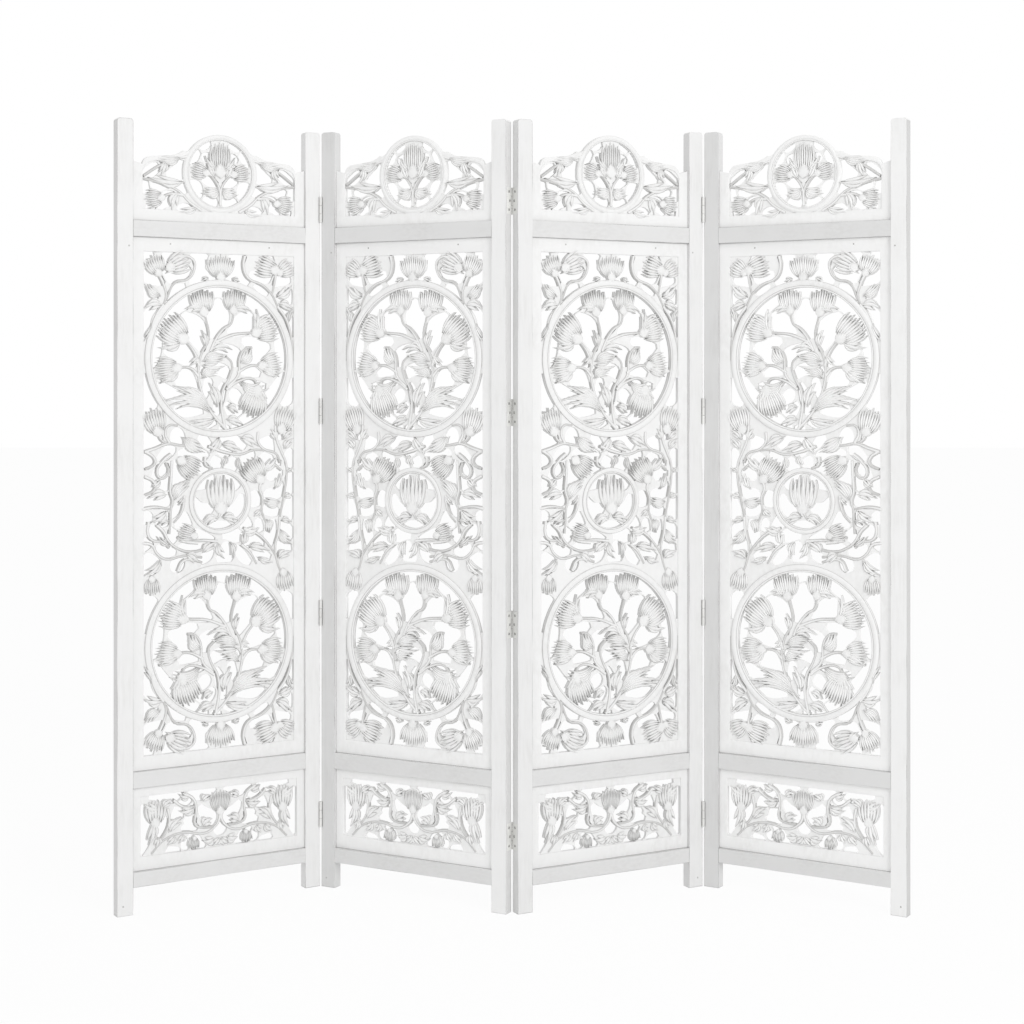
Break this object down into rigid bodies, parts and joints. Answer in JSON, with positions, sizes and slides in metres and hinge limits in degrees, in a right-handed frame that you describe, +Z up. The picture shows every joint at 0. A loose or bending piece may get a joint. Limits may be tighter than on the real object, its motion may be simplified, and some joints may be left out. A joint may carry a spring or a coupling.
{
  "type": "folding screen",
  "caption": "Free-standing zigzag screen of hinged wooden panels with pierced floral boards, stiles that end in feet and a crest with a round medallion.",
  "frame": {"origin": "on the floor, at the middle of the standing screen's bounding box", "axes": "+Z up, +Y from the front to the back, +X from the first panel to the last"},
  "size_m": [1.8302, 0.2842, 1.829],
  "materials": {
    "painted_wood": "matt white paint, worn at the edges",
    "hinge_metal": "thin white paint over steel"
  },
  "bodies": {
    "panel_1": {"panel_1_left_stile": "painted_wood", "panel_1_right_stile": "painted_wood", "panel_1_bottom_rail": "painted_wood", "panel_1_middle_rail": "painted_wood", "panel_1_top_rail": "painted_wood", "panel_1_lower_board": "painted_wood", "panel_1_main_board": "painted_wood", "panel_1_crest_board": "painted_wood", "hinges_1_2_plain_leaves": "hinge_metal"},
    "panel_2": {"panel_2_left_stile": "painted_wood", "panel_2_right_stile": "painted_wood", "panel_2_bottom_rail": "painted_wood", "panel_2_middle_rail": "painted_wood", "panel_2_top_rail": "painted_wood", "panel_2_lower_board": "painted_wood", "panel_2_main_board": "painted_wood", "panel_2_crest_board": "painted_wood", "hinges_1_2_pinned_leaves": "hinge_metal", "hinges_2_3_pinned_leaves": "hinge_metal"},
    "panel_3": {"panel_3_left_stile": "painted_wood", "panel_3_right_stile": "painted_wood", "panel_3_bottom_rail": "painted_wood", "panel_3_middle_rail": "painted_wood", "panel_3_top_rail": "painted_wood", "panel_3_lower_board": "painted_wood", "panel_3_main_board": "painted_wood", "panel_3_crest_board": "painted_wood", "hinges_2_3_plain_leaves": "hinge_metal", "hinges_3_4_pinned_leaves": "hinge_metal"},
    "panel_4": {"panel_4_left_stile": "painted_wood", "panel_4_right_stile": "painted_wood", "panel_4_bottom_rail": "painted_wood", "panel_4_middle_rail": "painted_wood", "panel_4_top_rail": "painted_wood", "panel_4_lower_board": "painted_wood", "panel_4_main_board": "painted_wood", "panel_4_crest_board": "painted_wood", "hinges_3_4_plain_leaves": "hinge_metal"}
  },
  "joints": [
    {"name": "fold_2_1", "type": "hinge", "parent": "panel_2", "child": "panel_1", "pos_m": [-0.46446, 0.11676, 0.9085], "axis": [0, 0, 1], "range_deg": [-59, 121]},
    {"name": "fold_2_3", "type": "hinge", "parent": "panel_2", "child": "panel_3", "pos_m": [0, -0.0935, 0.9085], "axis": [0, 0, 1], "range_deg": [-56, 124]},
    {"name": "fold_3_4", "type": "hinge", "parent": "panel_3", "child": "panel_4", "pos_m": [0.46446, 0.11676, 0.9085], "axis": [0, 0, -1], "range_deg": [-59, 121]}
  ]
}
